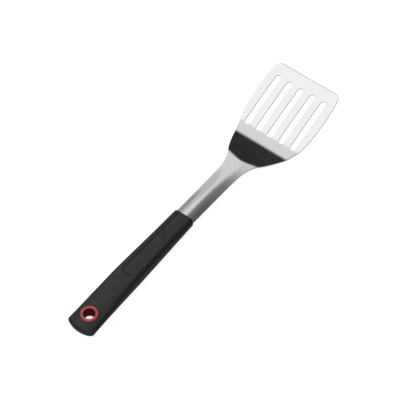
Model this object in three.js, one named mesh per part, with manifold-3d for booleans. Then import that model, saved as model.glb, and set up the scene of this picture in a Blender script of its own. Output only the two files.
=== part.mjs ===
// A slotted grill spatula: blade, neck and channel shank pressed from one stainless sheet, a hard
// core moulded round its tang, a soft grip over the core and a two-piece eyelet to hang it by.
import * as THREE from "three";
import { mergeVertices } from "three/addons/utils/BufferGeometryUtils.js";
import Module from "manifold-3d";

const wasm = await Module();
wasm.setup();

const degrees = THREE.MathUtils.degToRad;
const mix = THREE.MathUtils.lerp;
const smooth = THREE.MathUtils.smoothstep;

// Millimetres. X runs from the butt of the grip to the front edge of the blade, Y to the left and
// Z up. The spatula lies on the surface Z = 0, on the butt of its grip and the heel of its blade.
const GAP = 0.3; // between pieces that touch

// The grip
const GRIP_LENGTH = 191;
const GRIP_WALL = 2;
const BUTT_HALF_WIDTH = 18.4;
const FRONT_HALF_WIDTH = 13.6;
const TAPER = 1.6; // above 1, the width falls faster towards the butt
const BUTT_CORNER = 4; // radius of the long edges at the butt
const FRONT_CORNER = 5.8; // and at the front
const BUTT_TOP = 7.6; // height of the top's long edges
const FRONT_TOP = 18.8;
const TOP_RISES_FROM = -20;
const TOP_RISES_TO = 105;
const BUTT_CROWN = 3; // rise of top and underside towards their middles
const FRONT_CROWN = 0.7;
const CROWN_FADES_FROM = 20;
const CROWN_FADES_TO = 105;
const FLAT_HALF_WIDTH = 5; // the underside has a flat strip to rest on
const FLAT_END = 45; // which lies level up to here
const UNDERSIDE_RISE = 4.85; // and has risen by this at the front
const BUTT_BOW = 4.5; // how far the butt bows out in plan
const BOW_FADE = 12;
const END_ROUND = 2; // radius of the edge round each end

// The thumb rest, a shallow sunk panel on top of the grip
const THUMB_START = 84.5;
const THUMB_HALF_WIDTH = 8.3;
const THUMB_CORNER = 5.5;
const THUMB_DEPTH = 0.8;

// The stainless sheet. Places along it are developed lengths, equal to X on the shank.
const SHEET = 1.5;
const TANG_START = 78;
const TANG_HALF_WIDTH = 8.8;
const TANG_SLOPE = degrees(1.8); // it follows the rise of the grip
const TANG_FLAT_UNTIL = 168; // from here to the channel's start it takes on the arch of the shank
const CHANNEL_START = 186;
const TANG_CHAMFER = 3; // at the tang's two rear corners
const TANG_HOLE_RADIUS = 3;
const TANG_HOLES = [100, 145];
const SHOULDER = GRIP_LENGTH + GAP; // where the tang widens into the shank
const SHOULDER_LENGTH = 0.6;
const SHANK_HALF_WIDTH = 13.1;
const SHANK_EDGE_HEIGHT = 11.74; // of the upper surface's two long edges at the shoulder
const SHANK_FALL = degrees(0.16);
const RIDGE_HALF_WIDTH = 7.5; // of the arch's round middle, which has flat flanks beside it
const FLANK_SLOPE = 0.45;
const FLANKS_EASE_FROM = 206; // from here the arch flattens towards the neck
const FLARE_START = 256;
const NECK_FLARES_FROM = 262;
const NECK_AT = 295.8; // where the arch runs out into the ramp
const NECK_FLANK_SLOPE = 0.075;
const NECK_SPAN = 17;
const NECK_ROUND = 0.5;
const RAMP_SLOPE = degrees(15.5);
const HEEL_RADIUS = 22;
const STRIP_SLOPE = degrees(4.5); // of the strip between the heel and the foot of the blade
const STRIP_LENGTH = 9.8;
const FOOT_RADIUS = 14;
const BLADE_SLOPE = degrees(21.6);
const BLADE_FRONT = 437.6; // developed length at the front edge
const BLADE_CORNER = 8;
const BEVEL_LENGTH = 1; // of the ground front edge
const BEVEL_DROP = 0.4;

// The slots in the blade
const SLOT_ROWS = [-2, -1, 0, 1, 2];
const SLOT_PITCH = 16.6;
const SLOT_HALF_WIDTH = 3.95;
const SLOT_START = 351.7;
const SLOT_END = 422.3;

// The eyelet that lines the hanging hole
const EYELET_X = 20.3;
const BORE_TOP_RADIUS = 6.8; // the bore narrows a little towards the back
const BORE_BOTTOM_RADIUS = 6;
const BARREL_RADIUS = 8.5;
const FLANGE_RADIUS = 10.2;
const FLANGE_SEAT = 11.8; // height of the face that the upper flange rests on
const FLANGE_TILT = degrees(-5); // it leans with the top of the grip
const FLANGE_HEIGHT = 2.4;
const FLANGE_ROUND = 0.8;
const BACK_RING_BOTTOM = 0.6;
const BACK_RING_HEIGHT = 1.3;
const ROUND_SEGMENTS = 32;

// Solids

function solidFrom(geometry, matrix = new THREE.Matrix4()) {
  const shape = new THREE.BufferGeometry();
  shape.setAttribute("position", geometry.getAttribute("position").clone());
  shape.setIndex(geometry.index);
  const merged = mergeVertices(shape.applyMatrix4(matrix), 1e-4);
  return new wasm.Manifold(
    new wasm.Mesh({
      numProp: 3,
      vertProperties: new Float32Array(merged.attributes.position.array),
      triVerts: new Uint32Array(merged.index.array),
    }),
  );
}

function meshFrom(name, solid, material) {
  const { vertProperties, triVerts } = solid.getMesh();
  const geometry = new THREE.BufferGeometry();
  geometry.setAttribute("position", new THREE.BufferAttribute(vertProperties, 3));
  geometry.setIndex(new THREE.BufferAttribute(triVerts, 1));
  geometry.computeVertexNormals();
  const mesh = new THREE.Mesh(geometry, material);
  mesh.name = name;
  return mesh;
}

// A closed solid through rings of equally many points. A ring runs over the top from +Y to -Y and
// back underneath, so each point has a partner below it and strips between them close the ends.
function loft(rings) {
  const count = rings[0].length;
  const last = (rings.length - 1) * count;
  const indices = [];
  const quad = (a, b, c, d) => indices.push(a, b, c, a, c, d);
  for (let start = 0; start < last; start += count)
    for (let k = 0; k < count; k++) {
      const next = (k + 1) % count;
      quad(start + k, start + next, start + count + next, start + count + k);
    }
  for (let k = 0; k < count / 2 - 1; k++) {
    const below = count - 1 - k;
    quad(k, below, below - 1, k + 1);
    quad(last + k, last + k + 1, last + below - 1, last + below);
  }
  const geometry = new THREE.BufferGeometry();
  geometry.setFromPoints(rings.flat());
  geometry.setIndex(indices);
  return solidFrom(geometry);
}

// A cylinder along Z from bottom to top, turned and moved by a matrix
function cylinder(radius, bottom, top, place) {
  const geometry = new THREE.CylinderGeometry(radius, radius, top - bottom, ROUND_SEGMENTS);
  geometry.rotateX(Math.PI / 2).translate(0, 0, (top + bottom) / 2);
  return solidFrom(geometry, place);
}

// Grip

function gripSection(x) {
  const along = Math.min(1, x / GRIP_LENGTH);
  const pastFlat = Math.max(0, x - FLAT_END) / (GRIP_LENGTH - FLAT_END);
  return {
    halfWidth: mix(FRONT_HALF_WIDTH, BUTT_HALF_WIDTH, (1 - along) ** TAPER),
    corner: mix(BUTT_CORNER, FRONT_CORNER, along),
    bottom: UNDERSIDE_RISE * pastFlat ** 2,
    top: mix(BUTT_TOP, FRONT_TOP, smooth(x, TOP_RISES_FROM, TOP_RISES_TO)),
    crown: mix(BUTT_CROWN, FRONT_CROWN, smooth(x, CROWN_FADES_FROM, CROWN_FADES_TO)),
  };
}

// A ring round the grip at x, drawn in by inset on every side
function gripRing(x, inset) {
  const CORNER_STEPS = 4;
  const SPAN_STEPS = 3;
  const { halfWidth, corner, bottom, top, crown } = gripSection(x);
  const radius = Math.max(1, corner - inset);
  const side = halfWidth - inset - radius;
  const rise = (top - bottom) / 2 - inset - radius;
  const quarter = [];
  for (let k = 0; k <= CORNER_STEPS; k++) {
    const angle = ((Math.PI / 2) * k) / CORNER_STEPS;
    quarter.push([side + radius * Math.cos(angle), rise + radius * Math.sin(angle)]);
  }
  for (let k = 1; k < SPAN_STEPS; k++) quarter.push([side * (1 - k / SPAN_STEPS), rise + radius]);
  const mirrored = quarter.map(([across, up]) => [-across, up]).reverse();
  const over = [...quarter, [0, rise + radius], ...mirrored];
  const under = over.map(([across, up]) => [across, -up]).reverse();
  return [...over, ...under].map(([across, up]) => {
    const share = (across / halfWidth) ** 2;
    const pastStrip = Math.max(0, Math.abs(across) - FLAT_HALF_WIDTH);
    const lowest = bottom + crown * (pastStrip / (halfWidth - FLAT_HALF_WIDTH)) ** 2;
    const highest = top + crown * (1 - share);
    const bow = BUTT_BOW * share * Math.exp(-x / BOW_FADE);
    const height = mix(lowest, highest, up / (top - bottom) + 0.5);
    return new THREE.Vector3(x + bow, across, height);
  });
}

// The grip's shape drawn in by inset, with a rounded edge at each end
function gripBody(inset, endInset = inset) {
  const STATIONS = 20;
  const ROUND_STEPS = 3;
  const round = Math.max(0.5, END_ROUND - inset);
  const start = endInset + round;
  const end = GRIP_LENGTH - endInset - round;
  const roundedRing = (x, outward, k) => {
    const angle = ((Math.PI / 2) * k) / ROUND_STEPS;
    const drawnIn = inset + round * (1 - Math.sin(angle));
    return gripRing(x + outward * round * Math.cos(angle), drawnIn);
  };
  const rings = [];
  for (let k = 0; k < ROUND_STEPS; k++) rings.push(roundedRing(start, -1, k));
  for (let k = 0; k <= STATIONS; k++) rings.push(gripRing(mix(start, end, k / STATIONS), inset));
  for (let k = ROUND_STEPS - 1; k >= 0; k--) rings.push(roundedRing(end, 1, k));
  return loft(rings);
}

// The material removed from the top of the grip for the thumb
function thumbRestCut() {
  const BEYOND = 3;
  const length = GRIP_LENGTH + BEYOND - THUMB_START;
  const inner = THUMB_HALF_WIDTH - THUMB_CORNER;
  const outline = new THREE.Shape();
  outline.moveTo(length, -THUMB_HALF_WIDTH);
  outline.lineTo(length, THUMB_HALF_WIDTH);
  outline.absarc(THUMB_CORNER, inner, THUMB_CORNER, Math.PI / 2, Math.PI, false);
  outline.absarc(THUMB_CORNER, -inner, THUMB_CORNER, Math.PI, 1.5 * Math.PI, false);
  const prism = new THREE.ExtrudeGeometry(outline, {
    depth: FRONT_TOP,
    bevelEnabled: false,
    curveSegments: 5,
  });
  const place = new THREE.Matrix4().makeTranslation(THUMB_START, 0, FRONT_TOP / 2);
  return solidFrom(prism, place).subtract(gripBody(THUMB_DEPTH, -2 * BEYOND));
}

// Sheet

const shankEdge = (x) => SHANK_EDGE_HEIGHT - (x - SHOULDER) * Math.tan(SHANK_FALL);
const NECK_CROWN = NECK_FLANK_SLOPE * (NECK_SPAN - RIDGE_HALF_WIDTH / 2);
const NECK_HEIGHT = shankEdge(NECK_AT) + NECK_CROWN;
const HEEL_RISE = HEEL_RADIUS * (1 - Math.cos(RAMP_SLOPE));
const RAMP_LENGTH = (NECK_HEIGHT - SHEET - HEEL_RISE) / Math.sin(RAMP_SLOPE);
const HEEL_TURN = RAMP_SLOPE + STRIP_SLOPE;
const FOOT_TURN = BLADE_SLOPE - STRIP_SLOPE;
const HEEL_AT = NECK_AT + RAMP_LENGTH;
const HEEL_LOWEST = HEEL_AT + HEEL_RADIUS * RAMP_SLOPE;
const STRIP_AT = HEEL_AT + HEEL_RADIUS * HEEL_TURN;
const FOOT_AT = STRIP_AT + STRIP_LENGTH;
const FOOT_END = FOOT_AT + FOOT_RADIUS * FOOT_TURN;

// The straight and bent stretches of the sheet in front of the neck
const STRETCHES = [
  { length: RAMP_LENGTH, turn: 0 },
  { length: STRIP_AT - HEEL_AT, turn: HEEL_TURN },
  { length: STRIP_LENGTH, turn: 0 },
  { length: FOOT_END - FOOT_AT, turn: FOOT_TURN },
  { length: Infinity, turn: 0 },
];

// X and Z of the middle of ramp, heel and blade, with the ramp running on over the shank
function profileAt(s) {
  if (s < NECK_AT) return [s, NECK_HEIGHT + (NECK_AT - s) * Math.tan(RAMP_SLOPE)];
  let x = NECK_AT;
  let z = NECK_HEIGHT;
  let slope = -RAMP_SLOPE;
  let left = s - NECK_AT;
  for (const { length, turn } of STRETCHES) {
    const run = Math.min(left, length);
    const turned = turn === 0 ? 0 : (turn * run) / length;
    const chord = turned === 0 ? run : (2 * run * Math.sin(turned / 2)) / turned;
    x += chord * Math.cos(slope + turned / 2);
    z += chord * Math.sin(slope + turned / 2);
    slope += turned;
    left -= run;
    if (left <= 0) break;
  }
  return [x, z];
}

// Height of the arched shank, or of the flat tang behind it
function archHeight(x, across) {
  const behind = Math.max(0, TANG_FLAT_UNTIL - x);
  if (behind > 0) return shankEdge(TANG_FLAT_UNTIL) - behind * Math.tan(TANG_SLOPE);
  const rising = smooth(x, TANG_FLAT_UNTIL, CHANNEL_START);
  const easing = smooth(x, FLANKS_EASE_FROM, NECK_AT);
  const flank = rising * mix(FLANK_SLOPE, NECK_FLANK_SLOPE, easing);
  const span = mix(SHANK_HALF_WIDTH, NECK_SPAN, smooth(x, NECK_FLARES_FROM, NECK_AT));
  const rounded = Math.min(Math.abs(across), RIDGE_HALF_WIDTH);
  const straight = Math.abs(across) - rounded;
  const drop = rounded ** 2 / (2 * RIDGE_HALF_WIDTH) + straight;
  return shankEdge(x) + flank * (span - RIDGE_HALF_WIDTH / 2 - drop);
}

// A point of the sheet's upper surface, where the arch runs out into the flat ramp
function surface(s, across) {
  const [x, ramp] = profileAt(s);
  if (s >= HEEL_AT) return new THREE.Vector3(x, across, ramp);
  const arch = archHeight(x, across);
  const near = Math.max(0, 1 - Math.abs(arch - ramp) / NECK_ROUND);
  return new THREE.Vector3(x, across, Math.min(arch, ramp) - (NECK_ROUND / 4) * near ** 2);
}

// The point at a depth below the upper surface
function onSheet(s, across, depth) {
  const STEP = 0.02;
  const along = surface(s + STEP, across).sub(surface(s - STEP, across));
  const aside = surface(s, across + STEP).sub(surface(s, across - STEP));
  return surface(s, across).addScaledVector(along.cross(aside).normalize(), -depth);
}

// Half the width of neck, ramp and blade against developed length, up to the front corners
const CORNER_START = BLADE_FRONT - BLADE_CORNER;
const OUTLINE = new THREE.SplineCurve(
  [
    [FLARE_START, SHANK_HALF_WIDTH],
    [270, 13.4],
    [282, 14.4],
    [291, 16.7],
    [299, 20.5],
    [307, 25.2],
    [316, 29.4],
    [327.3, 33.9],
    [339.4, 38.1],
    [352.8, 42.6],
    [365, 45.4],
    [380, 47],
    [397, 47.5],
    [415, 47],
    [CORNER_START, 45.9],
  ].map(([s, half]) => new THREE.Vector2(s, half)),
);

function halfWidthAt(s) {
  const HALVINGS = 30;
  let low = 0;
  let high = 1;
  for (let k = 0; k < HALVINGS; k++) {
    const middle = (low + high) / 2;
    if (OUTLINE.getPoint(middle).x < s) low = middle;
    else high = middle;
  }
  return OUTLINE.getPoint(low).y;
}

// Stations from the shoulder to the front edge, closest together round the bends
function sheetStations() {
  const CORNER_STEPS = 6;
  const NECK_END = 318;
  const spans = [
    [FLARE_START, NECK_AT, 12],
    [NECK_AT, NECK_END, 9],
    [NECK_END, HEEL_AT, 2],
    [HEEL_AT, HEEL_LOWEST, 4],
    [HEEL_LOWEST, STRIP_AT, 2],
    [STRIP_AT, FOOT_AT, 1],
    [FOOT_AT, FOOT_END, 3],
    [FOOT_END, CORNER_START, 14],
  ];
  const stations = [];
  for (const s of [SHOULDER + SHOULDER_LENGTH, FLANKS_EASE_FROM, 222, 239, FLARE_START])
    stations.push(new THREE.Vector2(s, SHANK_HALF_WIDTH));
  for (const [start, end, steps] of spans)
    for (let k = 1; k <= steps; k++) {
      const s = mix(start, end, k / steps);
      stations.push(new THREE.Vector2(s, halfWidthAt(s)));
    }
  const widest = stations.at(-1).y;
  for (let k = 1; k <= CORNER_STEPS; k++) {
    const angle = ((Math.PI / 2) * k) / CORNER_STEPS;
    const forward = BLADE_CORNER * Math.sin(angle);
    const inward = BLADE_CORNER * (1 - Math.cos(angle));
    stations.push(new THREE.Vector2(CORNER_START + forward, widest - inward));
  }
  return stations;
}

// The sheet between stations of developed length and half width, grown by clearance on every side
function pressedSheet(stations, clearance = 0) {
  const LANES = 10;
  const rings = stations.map(({ x: s, y: half }) => {
    const bevel = BEVEL_DROP * Math.max(0, 1 - (BLADE_FRONT - s) / BEVEL_LENGTH);
    const upper = [];
    const lower = [];
    for (let lane = 0; lane <= LANES; lane++) {
      const across = half * (1 - (2 * lane) / LANES);
      upper.push(onSheet(s, across, bevel - clearance));
      lower.push(onSheet(s, across, SHEET + clearance));
    }
    return [...upper, ...lower.reverse()];
  });
  return loft(rings);
}

function slotCutter(row) {
  const back = SLOT_START - SLOT_END;
  const outline = new THREE.Shape();
  outline.absarc(-SLOT_HALF_WIDTH, 0, SLOT_HALF_WIDTH, -Math.PI / 2, Math.PI / 2, false);
  outline.absarc(back + SLOT_HALF_WIDTH, 0, SLOT_HALF_WIDTH, Math.PI / 2, 1.5 * Math.PI, false);
  const prism = new THREE.ExtrudeGeometry(outline, {
    depth: 4 * SHEET,
    bevelEnabled: false,
    curveSegments: 10,
  });
  prism.translate(0, 0, -2.5 * SHEET);
  const place = new THREE.Matrix4().makeRotationY(-BLADE_SLOPE);
  place.setPosition(surface(SLOT_END, row * SLOT_PITCH));
  return solidFrom(prism, place);
}

// The tang's stations from start to end, with a half width of half
function tangStations(start, end, half) {
  const STEPS = 6;
  const stations = [new THREE.Vector2(start, half)];
  for (let k = 0; k <= STEPS; k++)
    stations.push(new THREE.Vector2(mix(TANG_FLAT_UNTIL, CHANNEL_START, k / STEPS), half));
  stations.push(new THREE.Vector2(end, half));
  return stations;
}

function tangHole(x, radius) {
  const place = new THREE.Matrix4().makeTranslation(x, 0, 0);
  return cylinder(radius, 0, SHANK_EDGE_HEIGHT + 2 * SHEET, place);
}

function bladeAndShank() {
  let sheet = pressedSheet([
    new THREE.Vector2(TANG_START, TANG_HALF_WIDTH - TANG_CHAMFER),
    ...tangStations(TANG_START + TANG_CHAMFER, SHOULDER, TANG_HALF_WIDTH),
    ...sheetStations(),
  ]);
  for (const x of TANG_HOLES) sheet = sheet.subtract(tangHole(x, TANG_HOLE_RADIUS));
  for (const row of SLOT_ROWS) sheet = sheet.subtract(slotCutter(row));
  return sheet;
}

// The space that the tang takes in the core, whose plastic also fills the tang's holes
function tangSpace() {
  const start = TANG_START - GAP;
  const end = GRIP_LENGTH + SHEET;
  let space = pressedSheet(tangStations(start, end, TANG_HALF_WIDTH + GAP), GAP);
  for (const x of TANG_HOLES) space = space.subtract(tangHole(x, TANG_HOLE_RADIUS - GAP));
  return space;
}

// Eyelet

const eyeletPlace = new THREE.Matrix4().makeTranslation(EYELET_X, 0, 0);
const flangePlace = new THREE.Matrix4().makeRotationY(FLANGE_TILT);
flangePlace.setPosition(EYELET_X, 0, FLANGE_SEAT);

function eyeletSpace() {
  const through = cylinder(BARREL_RADIUS + GAP, -FRONT_TOP, FRONT_TOP, eyeletPlace);
  const flange = cylinder(FLANGE_RADIUS + GAP, -GAP, FRONT_TOP, flangePlace);
  const backTop = BACK_RING_BOTTOM + BACK_RING_HEIGHT + GAP;
  const back = cylinder(FLANGE_RADIUS + GAP, -FRONT_TOP, backTop, eyeletPlace);
  return through.add(flange).add(back);
}

// A solid turned from corners of radius and height, then placed by a matrix
function turned(corners, place) {
  const profile = corners.map(([radius, height]) => new THREE.Vector2(radius, height));
  profile.push(profile[0]);
  const geometry = new THREE.LatheGeometry(profile, ROUND_SEGMENTS);
  return solidFrom(geometry.rotateX(Math.PI / 2), place);
}

function hangEyelet() {
  const flange = turned(
    [
      [0, 0],
      [FLANGE_RADIUS, 0],
      [FLANGE_RADIUS, FLANGE_HEIGHT - FLANGE_ROUND],
      [FLANGE_RADIUS - FLANGE_ROUND, FLANGE_HEIGHT],
      [0, FLANGE_HEIGHT],
    ],
    flangePlace,
  );
  const barrelTop = FLANGE_SEAT + FLANGE_HEIGHT / 2;
  const barrel = cylinder(BARREL_RADIUS, BACK_RING_BOTTOM, barrelTop, eyeletPlace);
  const bore = turned(
    [
      [0, BACK_RING_BOTTOM - SHEET],
      [BORE_BOTTOM_RADIUS, BACK_RING_BOTTOM - SHEET],
      [BORE_BOTTOM_RADIUS, BACK_RING_BOTTOM],
      [BORE_TOP_RADIUS, FLANGE_SEAT + FLANGE_HEIGHT / 2],
      [BORE_TOP_RADIUS + FLANGE_HEIGHT, FLANGE_SEAT + 2 * FLANGE_HEIGHT],
      [0, FLANGE_SEAT + 2 * FLANGE_HEIGHT],
    ],
    eyeletPlace,
  );
  return flange.add(barrel).subtract(bore);
}

function eyeletBackRing() {
  const top = BACK_RING_BOTTOM + BACK_RING_HEIGHT;
  const corners = [
    [BARREL_RADIUS + GAP, BACK_RING_BOTTOM],
    [FLANGE_RADIUS, BACK_RING_BOTTOM],
    [FLANGE_RADIUS, top],
    [BARREL_RADIUS + GAP, top],
  ];
  return turned(corners, eyeletPlace);
}

// Assembly

const material = (color, roughness, metalness) =>
  new THREE.MeshStandardMaterial({ color, roughness, metalness });
const steel = material(0xc9c7c4, 0.35, 1);
const softBlack = material(0x2b2b2e, 0.7, 0);
const hardBlack = material(0x1c1c1e, 0.5, 0);
const red = material(0xc02030, 0.3, 0);

const hollow = gripBody(GRIP_WALL).add(tangSpace()).add(eyeletSpace()).add(thumbRestCut());
const core = gripBody(GRIP_WALL + GAP).subtract(tangSpace()).subtract(eyeletSpace());

const spatula = new THREE.Group();
spatula.add(meshFrom("blade_and_shank", bladeAndShank(), steel));
spatula.add(meshFrom("handle_core", core, hardBlack));
spatula.add(meshFrom("soft_grip", gripBody(0).subtract(hollow), softBlack));
spatula.add(meshFrom("hang_eyelet", hangEyelet(), red));
spatula.add(meshFrom("eyelet_back_ring", eyeletBackRing(), red));

const extent = new THREE.Box3().setFromObject(spatula);
spatula.position.x = -(extent.min.x + extent.max.x) / 2;

export default spatula;
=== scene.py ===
import math

import bmesh
import bpy
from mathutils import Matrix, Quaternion, Vector


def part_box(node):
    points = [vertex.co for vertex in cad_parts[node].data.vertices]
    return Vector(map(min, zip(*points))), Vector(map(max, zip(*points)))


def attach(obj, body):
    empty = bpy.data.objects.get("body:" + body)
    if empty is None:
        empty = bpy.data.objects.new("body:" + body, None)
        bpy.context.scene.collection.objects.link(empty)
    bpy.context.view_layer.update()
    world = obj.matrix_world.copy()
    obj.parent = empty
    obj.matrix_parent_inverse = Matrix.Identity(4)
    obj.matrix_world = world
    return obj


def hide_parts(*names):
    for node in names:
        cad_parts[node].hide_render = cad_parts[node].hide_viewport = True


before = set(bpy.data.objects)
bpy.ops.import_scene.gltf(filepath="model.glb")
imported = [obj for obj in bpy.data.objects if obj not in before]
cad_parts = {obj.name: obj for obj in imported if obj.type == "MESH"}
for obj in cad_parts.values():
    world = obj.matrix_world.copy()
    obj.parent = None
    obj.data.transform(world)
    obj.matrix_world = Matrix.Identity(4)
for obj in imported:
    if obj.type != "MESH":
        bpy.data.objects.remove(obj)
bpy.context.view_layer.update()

# A slotted grill spatula on a pale floor: a pressed stainless blade and shank, a soft black grip
# and a red eyelet. Shapes are in millimetres from the butt of the grip, as X along the spatula,
# Y to its left and Z up from the floor, and at() turns them into metres in the row's frame.
MM = 0.001
BUTT_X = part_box("soft_grip")[0].x
EYELET_X = 20.3
GAP = 0.3
SHARP = math.radians(40)  # an edge that turns more than this shows as a crease

# The grip
GRIP_LENGTH = (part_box("soft_grip")[1].x - BUTT_X) / MM
GRIP_WALL = 2
BUTT_HALF_WIDTH = 18.4
FRONT_HALF_WIDTH = 13.6
BUTT_CORNER = 4
FRONT_CORNER = 5.8
TAPER = 1.6  # above 1, the width falls faster towards the butt
BUTT_TOP = 7.6
FRONT_TOP = 18.8
TOP_RISES_FROM = -20
TOP_RISES_TO = 105
BUTT_CROWN = 3
FRONT_CROWN = 0.7
CROWN_FADES_FROM = 20
CROWN_FADES_TO = 105
FLAT_HALF_WIDTH = 5
FLAT_END = 45
UNDERSIDE_RISE = 4.85
BUTT_BOW = 4.5
BOW_FADE = 12
END_ROUND = 2
THUMB_START = 84.5
THUMB_HALF_WIDTH = 8.3
THUMB_CORNER = 5.5
THUMB_DEPTH = 0.8
THUMB_EDGE = 2.6  # width of the rounded step round the thumb rest

# The stainless sheet. Places along it are developed lengths, equal to X on the shank.
SHEET = 1.5
EDGE_ROUND = 0.2
LANES = 24  # fields across the sheet where it is laid out in rows
TANG_START = 78
TANG_CHAMFER = 3
TANG_HALF_WIDTH = 8.8
TANG_SLOPE = math.radians(1.8)
TANG_FLAT_UNTIL = 168
CHANNEL_START = 186
TANG_HOLE_RADIUS = 3
TANG_HOLES = (100, 145)
SHOULDER = GRIP_LENGTH + GAP
SHOULDER_LENGTH = 0.6
SHANK_START = SHOULDER + SHOULDER_LENGTH
FOOT_STEPS = 8
CLOSEST = 0.02  # points of the sheet that lie nearer together than this become one
SHANK_HALF_WIDTH = 13.1
SHANK_EDGE_HEIGHT = 11.74  # of the upper surface's two long edges at the shoulder
SHANK_FALL = math.radians(0.16)
RIDGE_HALF_WIDTH = 7.5  # the arch is round within this of the middle, with flat flanks beside it
FLANK_SLOPE = 0.45
FLANKS_EASE_FROM = 206
NECK_AT = 295.8
NECK_FLANK_SLOPE = 0.075
NECK_SPAN = 17
NECK_FLARES_FROM = 262
NECK_ROUND = 0.5
RAMP_SLOPE = math.radians(15.5)
HEEL_RADIUS = 22
STRIP_SLOPE = math.radians(4.5)
STRIP_LENGTH = 9.8
FOOT_RADIUS = 14
BLADE_SLOPE = math.radians(21.6)
BLADE_FRONT = 437.6
BLADE_CORNER = 8
BEVEL_LENGTH = 1
BEVEL_DROP = 0.4
SLOT_ROWS = (-2, -1, 0, 1, 2)
SLOT_PITCH = 16.6
SLOT_HALF_WIDTH = 3.95
SLOT_START = 351.7
SLOT_END = 422.3

# The eyelet
BORE_TOP_RADIUS = 6.8
BORE_BOTTOM_RADIUS = 6
BARREL_RADIUS = 8.5
FLANGE_RADIUS = 10.2
FLANGE_SEAT = 11.8
FLANGE_LEAN = math.tan(math.radians(5))
FLANGE_HEIGHT = 2.4
BACK_RING_BOTTOM = 0.6
BACK_RING_HEIGHT = 1.3
BACK_RING_PLAY = 0.05
FLANGE_PLAY = 0.1
BORE_MARGIN = 0.1  # faces up to this far outside the bore's top still get the bore's painted shade
NEAR_AXIS = 0.01  # inner radius of the cutters, which need one

# The camera, with its distance in metres
VIEW_AZIMUTH = math.radians(-51.58)
VIEW_ELEVATION = math.radians(52.46)
VIEW_ROLL = math.radians(-0.59)
VIEW_DISTANCE = 2.8
VIEW_FAR = 20
VIEW_LENS = 219.2
VIEW_AIM = (224, 3.4, 7.7)


def at(x, across, up):
    return Vector((BUTT_X + x * MM, across * MM, up * MM))


def mix(low, high, share):
    return low + (high - low) * share


def smooth(value, low, high):
    share = min(1, max(0, (value - low) / (high - low)))
    return share * share * (3 - 2 * share)


# Pieces


def piece_from(bm, name, material, node):
    """Makes an object of a bmesh. With a CAD node, it is a piece that stands for that node and
    rides on the one body."""
    mesh = bpy.data.meshes.new(name)
    bm.to_mesh(mesh)
    bm.free()
    mesh.materials.append(material)
    piece = bpy.data.objects.new(name, mesh)
    bpy.context.scene.collection.objects.link(piece)
    if node:
        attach(piece, "root")
        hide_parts(node)
    return piece


def shade(bm, sharp_angle):
    """Smooth shading, with a crease along each edge that turns more than the angle."""
    for face in bm.faces:
        face.smooth = True
    for edge in bm.edges:
        if len(edge.link_faces) == 2 and edge.calc_face_angle(0) > sharp_angle:
            edge.smooth = False


def cut(piece, cutters, sharp_angle):
    """Cuts the cutters out of a piece and removes them."""
    for cutter in cutters:
        modifier = piece.modifiers.new("cut", "BOOLEAN")
        modifier.operation = "DIFFERENCE"
        modifier.solver = "EXACT"
        modifier.object = cutter
    evaluated = piece.evaluated_get(bpy.context.evaluated_depsgraph_get())
    whole = bmesh.new()
    whole.from_mesh(evaluated.to_mesh())
    evaluated.to_mesh_clear()
    piece.modifiers.clear()
    for cutter in cutters:
        bpy.data.objects.remove(cutter)
    shade(whole, sharp_angle)
    whole.to_mesh(piece.data)
    whole.free()


def loft(rings):
    """A closed solid through rings of equally many points. A ring runs over the top from +Y to -Y
    and back underneath, so strips between partners close its ends."""
    bm = bmesh.new()
    rows = [[bm.verts.new(point) for point in ring] for ring in rings]
    count = len(rows[0])
    for behind, ahead in zip(rows, rows[1:]):
        for k in range(count):
            after = (k + 1) % count
            bm.faces.new((behind[k], behind[after], ahead[after], ahead[k]))
    first, last = rows[0], rows[-1]
    for k in range(count // 2 - 1):
        below = count - 1 - k
        bm.faces.new((first[k], first[below], first[below - 1], first[k + 1]))
        bm.faces.new((last[k], last[k + 1], last[below - 1], last[below]))
    return bm


# Grip


def grip_section(x):
    """Half width, corner radius, bottom and top of the grip at x."""
    along = x / GRIP_LENGTH
    past_flat = max(0, x - FLAT_END) / (GRIP_LENGTH - FLAT_END)
    return (
        mix(FRONT_HALF_WIDTH, BUTT_HALF_WIDTH, (1 - along) ** TAPER),
        mix(BUTT_CORNER, FRONT_CORNER, along),
        UNDERSIDE_RISE * past_flat**2,
        mix(BUTT_TOP, FRONT_TOP, smooth(x, TOP_RISES_FROM, TOP_RISES_TO)),
    )


def thumb_depth(x, across):
    """How far the thumb rest sinks the top of the grip."""
    behind = THUMB_START + THUMB_CORNER - x
    beside = abs(across) - (THUMB_HALF_WIDTH - THUMB_CORNER)
    outside = math.hypot(max(behind, 0), max(beside, 0)) + min(max(behind, beside), 0)
    return THUMB_DEPTH * smooth(THUMB_CORNER - outside, 0, THUMB_EDGE)


def grip_ring(x, inset, fineness):
    corner_steps = 6 * fineness
    span_steps = 10 * fineness
    half_width, corner, bottom, top = grip_section(x)
    crown = mix(BUTT_CROWN, FRONT_CROWN, smooth(x, CROWN_FADES_FROM, CROWN_FADES_TO))
    radius = max(1, corner - inset)
    side = half_width - inset - radius
    rise = (top - bottom) / 2 - inset - radius
    quarter = []
    for k in range(corner_steps + 1):
        angle = math.pi / 2 * k / corner_steps
        quarter.append((side + radius * math.cos(angle), rise + radius * math.sin(angle)))
    for k in range(1, span_steps):
        quarter.append((side * (1 - k / span_steps), rise + radius))
    mirrored = [(-across, up) for across, up in reversed(quarter)]
    over = [*quarter, (0, rise + radius), *mirrored]
    under = [(across, -up) for across, up in reversed(over)]
    ring = []
    for across, up in [*over, *under]:
        share = (across / half_width) ** 2
        bowed = x + BUTT_BOW * share * math.exp(-x / BOW_FADE)
        share_up = (up / (top - bottom)) + 0.5
        past_strip = max(0, abs(across) - FLAT_HALF_WIDTH) / (half_width - FLAT_HALF_WIDTH)
        lowest = bottom + crown * past_strip**2
        height = mix(lowest, top + crown * (1 - share), share_up)
        if up > 0 and inset < GRIP_WALL:
            height -= thumb_depth(bowed, across)
        ring.append(at(bowed, across, height))
    return ring


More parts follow.
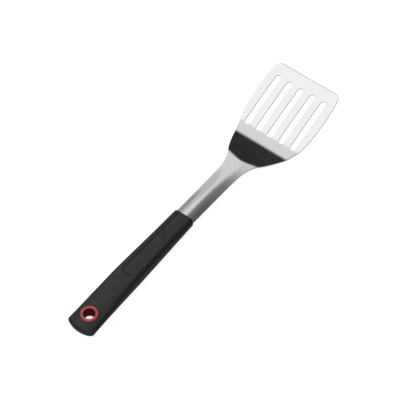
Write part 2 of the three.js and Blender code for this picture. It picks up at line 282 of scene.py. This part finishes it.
def grip_body(inset, fineness):
    """The grip's shape drawn in by inset, with a rounded edge at each end."""
    stations = 110 * fineness
    round_steps = 3 * fineness
    start = inset + END_ROUND
    end = GRIP_LENGTH - inset - END_ROUND

    def rounded(x, outward, k):
        angle = math.pi / 2 * k / round_steps
        drawn_in = inset + END_ROUND * (1 - math.sin(angle))
        return grip_ring(x + outward * END_ROUND * math.cos(angle), drawn_in, fineness)

    rings = [rounded(start, -1, k) for k in range(round_steps)]
    rings += [grip_ring(mix(start, end, k / stations), inset, fineness) for k in range(stations + 1)]
    rings += [rounded(end, 1, k) for k in reversed(range(round_steps))]
    return loft(rings)


# Sheet

NECK_CROWN = NECK_FLANK_SLOPE * (NECK_SPAN - RIDGE_HALF_WIDTH / 2)
NECK_HEIGHT = SHANK_EDGE_HEIGHT - (NECK_AT - SHOULDER) * math.tan(SHANK_FALL) + NECK_CROWN
HEEL_RISE = HEEL_RADIUS * (1 - math.cos(RAMP_SLOPE))
RAMP_LENGTH = (NECK_HEIGHT - SHEET - HEEL_RISE) / math.sin(RAMP_SLOPE)
HEEL_TURN = RAMP_SLOPE + STRIP_SLOPE
FOOT_TURN = BLADE_SLOPE - STRIP_SLOPE
STRETCHES = (
    (RAMP_LENGTH, 0),
    (HEEL_RADIUS * HEEL_TURN, HEEL_TURN),
    (STRIP_LENGTH, 0),
    (FOOT_RADIUS * FOOT_TURN, FOOT_TURN),
    (math.inf, 0),
)
HEEL_AT = NECK_AT + RAMP_LENGTH
STRIP_AT = HEEL_AT + HEEL_RADIUS * HEEL_TURN
FOOT_AT = STRIP_AT + STRIP_LENGTH
FOOT_END = FOOT_AT + FOOT_RADIUS * FOOT_TURN

# Half the width of neck, ramp and blade against developed length, up to the front corners
CORNER_START = BLADE_FRONT - BLADE_CORNER
FLARE_START = 256
OUTLINE = (
    (FLARE_START, SHANK_HALF_WIDTH),
    (270, 13.4),
    (282, 14.4),
    (291, 16.7),
    (299, 20.5),
    (307, 25.2),
    (316, 29.4),
    (327.3, 33.9),
    (339.4, 38.1),
    (352.8, 42.6),
    (365, 45.4),
    (380, 47),
    (397, 47.5),
    (415, 47),
    (CORNER_START, 45.9),
)

# Where each stretch of rows along tang and shank ends and its number of steps, with short steps
# where the neck flares
NECK_FINE_FROM = 290
NECK_FINE_TO = 322
TANG_STRETCHES = ((CHANNEL_START, 12), (SHOULDER, 2))
SHANK_STRETCHES = (
    (FLARE_START, 24),
    (NECK_FINE_FROM, 20),
    (NECK_FINE_TO, 64),
    (HEEL_AT, 10),
    (STRIP_AT, 16),
)
TANG_SIDE_STEPS = 20
BLADE_SIDE_STEPS = 60
CORNER_STEPS = 10
BEVEL_STEPS = 4


def outline_point(share):
    """A point of the smooth curve through the outline's points."""
    place = share * (len(OUTLINE) - 1)
    k = min(int(place), len(OUTLINE) - 2)
    t = place - k
    knots = [OUTLINE[min(max(k + step, 0), len(OUTLINE) - 1)] for step in (-1, 0, 1, 2)]
    point = []
    for before, start, end, after in zip(*knots):
        leaving = (end - before) / 2
        arriving = (after - start) / 2
        cubic = 2 * (start - end) + leaving + arriving
        square = 3 * (end - start) - 2 * leaving - arriving
        point.append(start + t * (leaving + t * (square + t * cubic)))
    return point


def half_width_at(s):
    """Half the sheet's width in front of the shoulder."""
    if s <= FLARE_START:
        return SHANK_HALF_WIDTH
    if s > CORNER_START:
        forward = min(s - CORNER_START, BLADE_CORNER)
        inward = BLADE_CORNER - math.sqrt(BLADE_CORNER**2 - forward**2)
        return OUTLINE[-1][1] - inward
    low, high = 0, 1
    halvings = 30
    for _ in range(halvings):
        middle = (low + high) / 2
        if outline_point(middle)[0] < s:
            low = middle
        else:
            high = middle
    return outline_point(low)[1]


def profile_at(s):
    """X and Z of the middle of ramp, heel and blade, with the ramp running on over the shank."""
    if s < NECK_AT:
        return s, NECK_HEIGHT + (NECK_AT - s) * math.tan(RAMP_SLOPE)
    x, z, slope = NECK_AT, NECK_HEIGHT, -RAMP_SLOPE
    left = s - NECK_AT
    for length, turn in STRETCHES:
        run = min(left, length)
        turned = turn * run / length if turn else 0
        chord = 2 * run * math.sin(turned / 2) / turned if turned else run
        x += chord * math.cos(slope + turned / 2)
        z += chord * math.sin(slope + turned / 2)
        slope += turned
        left -= run
        if left <= 0:
            break
    return x, z


def arch_height(x, across):
    """Height of the arched shank, or of the flat tang behind it."""
    if x < TANG_FLAT_UNTIL:
        return arch_height(TANG_FLAT_UNTIL, across) + (x - TANG_FLAT_UNTIL) * math.tan(TANG_SLOPE)
    edge = SHANK_EDGE_HEIGHT - (x - SHOULDER) * math.tan(SHANK_FALL)
    flank = mix(FLANK_SLOPE, NECK_FLANK_SLOPE, smooth(x, FLANKS_EASE_FROM, NECK_AT))
    flank *= smooth(x, TANG_FLAT_UNTIL, CHANNEL_START)
    span = mix(SHANK_HALF_WIDTH, NECK_SPAN, smooth(x, NECK_FLARES_FROM, NECK_AT))
    rounded = min(abs(across), RIDGE_HALF_WIDTH)
    straight = abs(across) - rounded
    return edge + flank * (span - RIDGE_HALF_WIDTH / 2 - rounded**2 / (2 * RIDGE_HALF_WIDTH) - straight)


def surface(s, across):
    """A point of the sheet's upper surface, where the arch runs out into the flat ramp."""
    x, z = profile_at(s)
    if s < HEEL_AT:
        arch = arch_height(x, across)
        near = max(0, 1 - abs(arch - z) / NECK_ROUND)
        z = min(arch, z) - NECK_ROUND / 4 * near**2
    return at(x, across, z)


def on_sheet(s, across, depth):
    """The point at a depth below the upper surface."""
    step = 0.02
    along = surface(s + step, across) - surface(s - step, across)
    aside = surface(s, across + step) - surface(s, across - step)
    return surface(s, across) - along.cross(aside).normalized() * depth * MM


def add_rows(plan, stations):
    """Rows of points across a flat plan at stations of developed length and half width."""
    rows = []
    for s, half in stations:
        places = [half * (1 - 2 * k / LANES) for k in range(LANES + 1)]
        rows.append([plan.verts.new((s, across, 0)) for across in places])
    for behind, ahead in zip(rows, rows[1:]):
        for k in range(LANES):
            plan.faces.new((behind[k], behind[k + 1], ahead[k + 1], ahead[k]))
    return rows


def add_field(plan, behind, ahead, sides, holes):
    """A flat field between two rows of a plan, with sides at stations between them and with holes."""
    left = [plan.verts.new((s, half, 0)) for s, half in sides]
    right = [plan.verts.new((s, -half, 0)) for s, half in sides]
    rim = [*behind, *right, *reversed(ahead), *reversed(left)]
    edges = []
    for loop in [rim, *([plan.verts.new((*point, 0)) for point in hole] for hole in holes)]:
        for here, following in zip(loop, [*loop[1:], loop[0]]):
            edge = plan.edges.get((here, following)) or plan.edges.new((here, following))
            edges.append(edge)
    bmesh.ops.triangle_fill(plan, use_beauty=True, edges=edges)


def stations_through(start, stretches, half_width=half_width_at):
    """Stations after a start, through stretches that each have an end and a number of steps."""
    stations = []
    for end, steps in stretches:
        places = [mix(start, end, k / steps) for k in range(1, steps + 1)]
        stations += [(s, half_width(s)) for s in places]
        start = end
    return stations


def circle(s, across, radius, steps=32):
    angles = [2 * math.pi * k / steps for k in range(steps)]
    return [(s + radius * math.cos(a), across + radius * math.sin(a)) for a in angles]


def slot(row, steps=16):
    """The outline of a slot with round ends."""
    outline = []
    for centre, start in ((SLOT_END - SLOT_HALF_WIDTH, -1), (SLOT_START + SLOT_HALF_WIDTH, 1)):
        for k in range(steps + 1):
            angle = math.pi * (start / 2 + k / steps)
            across = row * SLOT_PITCH + SLOT_HALF_WIDTH * math.sin(angle)
            outline.append((centre + SLOT_HALF_WIDTH * math.cos(angle), across))
    return outline


def tang_stations(start, stretches):
    return stations_through(start, stretches, lambda s: TANG_HALF_WIDTH)


def sheet_plan():
    """The developed outline of tang, shank, neck, ramp and blade as a flat mesh."""
    plan = bmesh.new()
    chamfer_end = TANG_START + TANG_CHAMFER
    rear = add_rows(plan, [(TANG_START, TANG_HALF_WIDTH - TANG_CHAMFER), (chamfer_end, TANG_HALF_WIDTH)])
    middle = [(TANG_FLAT_UNTIL, TANG_HALF_WIDTH)]
    middle += tang_stations(TANG_FLAT_UNTIL, TANG_STRETCHES)
    middle += [(SHANK_START, SHANK_HALF_WIDTH)]
    middle += stations_through(SHANK_START, SHANK_STRETCHES)
    middle = add_rows(plan, middle)
    bevel_start = BLADE_FRONT - BEVEL_LENGTH
    before_bevel = bevel_start - BEVEL_LENGTH / 2
    front = [(s, half_width_at(s)) for s in (before_bevel, bevel_start)]
    front += stations_through(bevel_start, [(BLADE_FRONT, BEVEL_STEPS)])
    front = add_rows(plan, front)
    sides = tang_stations(chamfer_end, [(TANG_FLAT_UNTIL, TANG_SIDE_STEPS)])[:-1]
    add_field(plan, rear[-1], middle[0], sides, [circle(s, 0, TANG_HOLE_RADIUS) for s in TANG_HOLES])
    sides = stations_through(FOOT_END, [(CORNER_START, BLADE_SIDE_STEPS), (before_bevel, CORNER_STEPS)])[:-1]
    add_field(plan, middle[-1], front[0], sides, [slot(row) for row in SLOT_ROWS])
    for k in range(FOOT_STEPS + 1):
        bend = Vector((mix(FOOT_AT, FOOT_END, k / FOOT_STEPS), 0, 0))
        everything = [*plan.verts, *plan.edges, *plan.faces]
        bmesh.ops.bisect_plane(plan, geom=everything, dist=CLOSEST, plane_co=bend, plane_no=(1, 0, 0))
    clear_rims(plan)
    return plan


def clear_rims(plan):
    """Joins points that the cuts along the foot bend leave close to a rim with that rim. The
    rounding of the rim's edge would fold the sheet over at them otherwise."""
    rim = [vert for vert in plan.verts if vert.is_boundary]
    to_rim = {}
    for vert in plan.verts:
        if FOOT_AT - SHEET < vert.co.x < FOOT_END + SHEET and not vert.is_boundary:
            closest = min(rim, key=lambda other: (other.co - vert.co).length)
            if (closest.co - vert.co).length < 2 * EDGE_ROUND:
                to_rim[vert] = closest
    bmesh.ops.weld_verts(plan, targetmap=to_rim)
    bmesh.ops.dissolve_degenerate(plan, edges=plan.edges, dist=CLOSEST)


def pressed(plan, upper, lower, edge_round):
    """The solid sheet of a flat plan between two depths, with rounded edges. Its UV map holds the
    plan's own coordinates in metres, which the brush lines follow."""
    for face in plan.faces:
        face.normal_update()
        if face.normal.z < 0:
            face.normal_flip()
    inward = {}
    for edge in plan.edges:
        if edge.is_boundary:
            loop = edge.link_loops[0]
            along = (loop.link_loop_next.vert.co - loop.vert.co).normalized()
            across = Vector((-along.y, along.x, 0))
            for vert in edge.verts:
                inward[vert] = inward.get(vert, Vector()) + across
    bm = bmesh.new()
    flat = {}

    def point(vert, inset, depth):
        co = vert.co + inward[vert].normalized() * inset if inset else vert.co
        bevel = BEVEL_DROP * max(0, 1 - (BLADE_FRONT - vert.co.x) / BEVEL_LENGTH)
        depth = mix(bevel, SHEET, depth / SHEET) if 0 <= depth <= SHEET else depth
        made = bm.verts.new(on_sheet(co.x, co.y, depth))
        flat[made] = co.xy * MM
        return made

    steps = 3
    turns = [math.pi / 2 * k / steps for k in range(steps + 1)]
    top = [(edge_round * (1 - math.sin(a)), upper + edge_round * (1 - math.cos(a))) for a in turns]
    bottom = [(edge_round * (1 - math.sin(a)), lower - edge_round * (1 - math.cos(a))) for a in turns]
    wall = top + bottom[::-1] if edge_round else [(0, upper), (0, lower)]
    columns = {}
    for vert in plan.verts:
        if vert in inward:
            columns[vert] = [point(vert, inset, depth) for inset, depth in wall]
        else:
            columns[vert] = [point(vert, 0, upper), point(vert, 0, lower)]
    for face in plan.faces:
        bm.faces.new([columns[vert][0] for vert in face.verts])
        bm.faces.new([columns[vert][-1] for vert in reversed(face.verts)])
    for edge in plan.edges:
        if edge.is_boundary:
            loop = edge.link_loops[0]
            here, ahead = columns[loop.vert], columns[loop.link_loop_next.vert]
            for k in range(len(wall) - 1):
                bm.faces.new((here[k + 1], ahead[k + 1], ahead[k], here[k]))
            for k in (0, -1):
                bm.edges.get((here[k], ahead[k])).smooth = False
    bmesh.ops.recalc_face_normals(bm, faces=bm.faces)
    uv = bm.loops.layers.uv.new("brush")
    for face in bm.faces:
        face.smooth = True
        for loop in face.loops:
            loop[uv].uv = flat[loop.vert]
    return bm


def tang_space():
    """The space that the tang takes in the front wall of the grip."""
    plan = bmesh.new()
    add_rows(plan, [(s, TANG_HALF_WIDTH + GAP) for s in (CHANNEL_START, GRIP_LENGTH + SHEET)])
    return pressed(plan, -GAP, SHEET + GAP, 0)


# Eyelet


def rounded_corner(radius, height, size, start, steps=5):
    """Profile points round a corner whose centre is at a radius and a height."""
    turns = [math.radians(start + 90 * k / steps) for k in range(steps + 1)]
    return [(radius + size * math.cos(a), height + size * math.sin(a)) for a in turns]


def turned(profile, lean_from, lean_to, steps=128):
    """A ring turned from a closed profile of radius and height. Above lean_from it leans with the
    top of the grip, fully so from lean_to."""
    bm = bmesh.new()
    columns = []
    for k in range(steps):
        angle = 2 * math.pi * k / steps
        column = []
        for radius, height in profile:
            lean = FLANGE_LEAN * smooth(height, lean_from, lean_to)
            forward = radius * math.cos(angle)
            place = at(EYELET_X + forward, radius * math.sin(angle), height + forward * lean)
            column.append(bm.verts.new(place))
        columns.append(column)
    for here, ahead in zip(columns, [*columns[1:], columns[0]]):
        for k in range(len(profile)):
            after = (k + 1) % len(profile)
            bm.faces.new((here[k], ahead[k], ahead[after], here[after]))
    return bm


def eyelet():
    top = FLANGE_SEAT + FLANGE_HEIGHT
    outer = 0.8
    inner = 0.7
    small = 0.3
    profile = [(BORE_BOTTOM_RADIUS, BACK_RING_BOTTOM), (BARREL_RADIUS, BACK_RING_BOTTOM)]
    profile += [(BARREL_RADIUS, FLANGE_SEAT)]
    profile += [(FLANGE_RADIUS - small, FLANGE_SEAT), (FLANGE_RADIUS, FLANGE_SEAT + small)]
    profile += rounded_corner(FLANGE_RADIUS - outer, top - outer, outer, 0)
    profile += rounded_corner(BORE_TOP_RADIUS + inner, top - inner, inner, 90)
    return turned(profile, BACK_RING_BOTTOM, FLANGE_SEAT)


def back_ring():
    top = BACK_RING_BOTTOM + BACK_RING_HEIGHT
    edge = 0.35
    inner = BARREL_RADIUS + BACK_RING_PLAY
    profile = [(inner, BACK_RING_BOTTOM + edge), (inner + edge, BACK_RING_BOTTOM)]
    profile += rounded_corner(FLANGE_RADIUS - edge, BACK_RING_BOTTOM + edge, edge, -90)
    profile += [(FLANGE_RADIUS, top), (inner, top)]
    above = 2 * top  # the ring lies below this, so it doesn't lean
    return turned(profile, above, 2 * above)


def eyelet_spaces():
    """The holes that the eyelet takes through the grip, above and below."""
    far = 3 * BUTT_TOP
    back_top = BACK_RING_BOTTOM + BACK_RING_HEIGHT + GAP
    seat = FLANGE_SEAT - GAP

    def column(radius, low, high):
        return [(NEAR_AXIS, low), (radius, low), (radius, high), (NEAR_AXIS, high)]

    barrel = column(BARREL_RADIUS + GAP, -far, far)
    flange = column(FLANGE_RADIUS + FLANGE_PLAY, seat, far)
    back = column(FLANGE_RADIUS + FLANGE_PLAY, -far, back_top)
    lean = (BACK_RING_BOTTOM, seat)
    return [turned(flange, *lean), turned(barrel, far, 2 * far), turned(back, far, 2 * far)]


# Materials, each between two colours

STEEL_COLOURS = ((0.818, 0.800, 0.785, 1), (0.858, 0.840, 0.826, 1))
RUBBER_COLOURS = ((0.0140, 0.0142, 0.0168, 1), (0.0190, 0.0192, 0.0225, 1))
CORE_COLOURS = ((0.010, 0.010, 0.011, 1), (0.016, 0.016, 0.018, 1))
RED_COLOURS = ((0.74, 0.055, 0.075, 1), (0.82, 0.070, 0.090, 1))
# A darker red painted into the bore as the shade inside the hole
BORE_SHADE_COLOURS = ((0.20, 0.002, 0.004, 1), (0.24, 0.003, 0.006, 1))


class Shader:
    """A material whose nodes are added one by one."""

    def __init__(self, name):
        self.material = bpy.data.materials.new(name)
        self.material.use_nodes = True
        self.tree = self.material.node_tree
        self.surface = self.tree.nodes["Principled BSDF"]

    def add(self, kind, inputs=(), **settings):
        made = self.tree.nodes.new(kind)
        for name, value in settings.items():
            setattr(made, name, value)
        self.feed(made, inputs)
        return made

    def feed(self, made, inputs):
        for name, value in dict(inputs).items():
            self.put(made.inputs[name], value)

    def put(self, socket, value):
        """Links a socket to an output, or sets its value."""
        if isinstance(value, bpy.types.NodeSocket):
            self.tree.links.new(value, socket)
        else:
            socket.default_value = value

    def noise(self, coordinates, stretch, detail=2.0, roughness=0.5):
        """Noise with a feature size set by how far each coordinate is stretched."""
        mapped = self.add("ShaderNodeMapping", {"Vector": coordinates, "Scale": stretch})
        inputs = {"Vector": mapped.outputs["Vector"], "Scale": 1.0, "Detail": detail, "Roughness": roughness}
        return self.add("ShaderNodeTexNoise", inputs).outputs["Fac"]

    def ranged(self, value, low, high, start=0.0, end=1.0):
        inputs = {"Value": value, "From Min": start, "From Max": end, "To Min": low, "To Max": high}
        return self.add("ShaderNodeMapRange", inputs).outputs["Result"]

    def blended(self, share, first, second):
        made = self.add("ShaderNodeMix", data_type="RGBA")
        colours = [socket for socket in made.inputs if socket.type == "RGBA"]
        self.put(made.inputs["Factor"], share)
        self.put(colours[0], first)
        self.put(colours[1], second)
        return [socket for socket in made.outputs if socket.type == "RGBA"][0]


def brushed_steel():
    shader = Shader("brushed_steel")
    plan = shader.add("ShaderNodeUVMap", uv_map="brush").outputs["UV"]
    fine = shader.noise(plan, (40, 4000, 1), detail=3)
    broad = shader.noise(plan, (15, 1500, 1), detail=2)
    cloud = shader.noise(plan, (45, 45, 1), detail=3)
    lines = shader.add("ShaderNodeMath", {0: fine, 1: broad}, operation="ADD").outputs[0]
    colour = shader.blended(cloud, *STEEL_COLOURS)
    bump = shader.add("ShaderNodeBump", {"Height": lines, "Strength": 0.22, "Distance": 1e-5})
    tangent = shader.add("ShaderNodeTangent", direction_type="UV_MAP", uv_map="brush")
    shader.feed(
        shader.surface,
        {
            "Base Color": colour,
            "Metallic": 1.0,
            "Roughness": shader.ranged(lines, 0.15, 0.21, 0.6, 1.4),
            "Anisotropic": 0.35,
            "Tangent": tangent.outputs["Tangent"],
            "Normal": bump.outputs["Normal"],
        },
    )
    return shader.material


def soft_touch():
    shader = Shader("soft_touch")
    place = shader.add("ShaderNodeTexCoord").outputs["Object"]
    grain = shader.noise(place, (2600, 2600, 2600), detail=2)
    cloud = shader.noise(place, (90, 90, 90), detail=3)
    colour = shader.blended(cloud, *RUBBER_COLOURS)
    bump = shader.add("ShaderNodeBump", {"Height": grain, "Strength": 0.5, "Distance": 4e-5})
    shader.feed(
        shader.surface,
        {
            "Base Color": colour,
            "Specular IOR Level": 0.72,
            "Roughness": shader.ranged(cloud, 0.42, 0.55, 0.3, 0.7),
            "Normal": bump.outputs["Normal"],
        },
    )
    return shader.material


def hard_plastic():
    shader = Shader("hard_plastic")
    place = shader.add("ShaderNodeTexCoord").outputs["Object"]
    grain = shader.noise(place, (1400, 1400, 1400), detail=2)
    bump = shader.add("ShaderNodeBump", {"Height": grain, "Strength": 0.4, "Distance": 5e-5})
    shader.feed(
        shader.surface,
        {
            "Base Color": shader.blended(grain, *CORE_COLOURS),
            "Roughness": shader.ranged(grain, 0.4, 0.55),
            "Normal": bump.outputs["Normal"],
        },
    )
    return shader.material


def glossy_red(name, colours, gloss, roughest):
    """Red plastic with a slight ripple, which changes its roughness too."""
    shader = Shader(name)
    place = shader.add("ShaderNodeTexCoord").outputs["Object"]
    ripple = shader.noise(place, (260, 260, 260), detail=2)
    bump = shader.add("ShaderNodeBump", {"Height": ripple, "Strength": 0.15, "Distance": 1e-4})
    shader.feed(
        shader.surface,
        {
            "Base Color": shader.blended(ripple, *colours),
            "Specular IOR Level": gloss,
            "Roughness": shader.ranged(ripple, 0.7 * roughest, roughest, 0.3, 0.7),
            "Normal": bump.outputs["Normal"],
        },
    )
    return shader.material


# Studio

# Soft boxes at infinity, of which the brightest counts where they overlap. Each has its azimuth
# and elevation and its half width inside and outside its soft edge, in degrees, and its strength.
# Azimuth 0 is +X and 90 is +Y.
SOFT_BOXES = (
    (118, 66, 16, 34, 1.07),
    (48, 52, 10, 23, 0.8),
    (62, 63, 4, 12, 0.86),
    (50, 38, 2, 10, 0.6),
    (33, 40, 2, 14, 0.22),
    (14, 60, 3, 14, 0.27),
    (40, 62, 2, 22, 0.5),
    (5, 66, 6, 34, 0.19),
    (58, 28, 6, 16, 0.6),
    (80, 10, 30, 45, 0.33),
    (-50, 50, 25, 50, 0.09),
    (-140, 35, 25, 60, 0.55),
    (0, -90, 70, 95, 0.25),
)
SKY_BASE = 0.0065
FLOOR_GLOW = 0.85
FLOOR_COLOUR = (0.6, 0.6, 0.6, 1)
FLOOR_CORNERS = ((-3, -3), (3, -3), (3, 3), (-3, 3))  # in metres


def floor_piece():
    bm = bmesh.new()
    bm.faces.new([bm.verts.new((*corner, 0)) for corner in FLOOR_CORNERS])
    shader = Shader("floor")
    shader.feed(
        shader.surface,
        {
            "Base Color": FLOOR_COLOUR,
            "Roughness": 0.9,
            "Emission Color": (1, 1, 1, 1),
            "Emission Strength": FLOOR_GLOW,
        },
    )
    floor = piece_from(bm, "floor", shader.material, None)
    floor.visible_glossy = False
    floor.visible_diffuse = False


def studio_sky():
    world = bpy.data.worlds.new("studio")
    world.use_nodes = True
    bpy.context.scene.world = world
    tree = world.node_tree
    nodes = tree.nodes
    background = nodes["Background"]
    background.inputs["Color"].default_value = (1, 1, 1, 1)
    direction = nodes.new("ShaderNodeTexCoord").outputs["Generated"]
    brightest = None
    for azimuth, elevation, inside, outside, strength in SOFT_BOXES:
        turn, tilt = math.radians(azimuth), math.radians(elevation)
        towards = (math.cos(turn) * math.cos(tilt), math.sin(turn) * math.cos(tilt), math.sin(tilt))
        dot = nodes.new("ShaderNodeVectorMath")
        dot.operation = "DOT_PRODUCT"
        dot.inputs[1].default_value = towards
        tree.links.new(direction, dot.inputs[0])
        glow = nodes.new("ShaderNodeMapRange")
        glow.interpolation_type = "SMOOTHSTEP"
        glow.inputs["From Min"].default_value = math.cos(math.radians(outside))
        glow.inputs["From Max"].default_value = math.cos(math.radians(inside))
        glow.inputs["To Max"].default_value = strength
        tree.links.new(dot.outputs["Value"], glow.inputs["Value"])
        if brightest is None:
            brightest = glow.outputs["Result"]
        else:
            either = nodes.new("ShaderNodeMath")
            either.operation = "MAXIMUM"
            tree.links.new(brightest, either.inputs[0])
            tree.links.new(glow.outputs["Result"], either.inputs[1])
            brightest = either.outputs[0]
    raised = nodes.new("ShaderNodeMath")
    raised.operation = "ADD"
    raised.inputs[1].default_value = SKY_BASE
    tree.links.new(brightest, raised.inputs[0])
    path = nodes.new("ShaderNodeLightPath")
    seen = nodes.new("ShaderNodeMix")
    seen.inputs["B"].default_value = 1.0
    tree.links.new(path.outputs["Is Camera Ray"], seen.inputs["Factor"])
    tree.links.new(raised.outputs[0], seen.inputs["A"])
    tree.links.new(seen.outputs["Result"], background.inputs["Strength"])


def camera():
    back = Vector(
        (
            math.sin(VIEW_AZIMUTH) * math.cos(VIEW_ELEVATION),
            -math.cos(VIEW_AZIMUTH) * math.cos(VIEW_ELEVATION),
            math.sin(VIEW_ELEVATION),
        )
    )
    data = bpy.data.cameras.new("camera")
    data.lens = VIEW_LENS
    data.clip_end = VIEW_FAR
    view = bpy.data.objects.new("camera", data)
    view.location = at(*VIEW_AIM) + back * VIEW_DISTANCE
    turn = back.to_track_quat("Z", "Y") @ Quaternion((0, 0, 1), VIEW_ROLL)
    view.rotation_euler = turn.to_euler()
    bpy.context.scene.collection.objects.link(view)
    bpy.context.scene.camera = view


camera()
bpy.context.scene.view_settings.view_transform = "Standard"
studio_sky()
floor_piece()

steel = brushed_steel()
rubber = soft_touch()
red = glossy_red("glossy_red", RED_COLOURS, gloss=0.9, roughest=0.32)
# The bore's material is painted shade: a darker, duller red for the inside of the hole
bore_shade_red = glossy_red("bore_painted_shade", BORE_SHADE_COLOURS, gloss=0.06, roughest=0.6)
core = hard_plastic()

sheet = pressed(sheet_plan(), 0, SHEET, EDGE_ROUND)
piece_from(sheet, "steel_sheet", steel, "blade_and_shank")

grip = piece_from(grip_body(0, 2), "grip_shell", rubber, "soft_grip")
spaces = [grip_body(GRIP_WALL, 1), tang_space(), *eyelet_spaces()]
cut(grip, [piece_from(space, "space", rubber, None) for space in spaces], SHARP)

for name, shape in (("hang_eyelet", eyelet()), ("eyelet_back_ring", back_ring())):
    shade(shape, SHARP)
    ring = piece_from(shape, name + "_detail", red, name)
    # Faces round the bore take the darker red, which is painted shade inside the hole
    ring.data.materials.append(bore_shade_red)
    for face in ring.data.polygons:
        reach = max((ring.data.vertices[k].co.xy - at(EYELET_X, 0, 0).xy).length for k in face.vertices)
        face.material_index = 1 if reach < (BORE_TOP_RADIUS + BORE_MARGIN) * MM else 0

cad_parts["handle_core"].data.materials.clear()
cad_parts["handle_core"].data.materials.append(core)
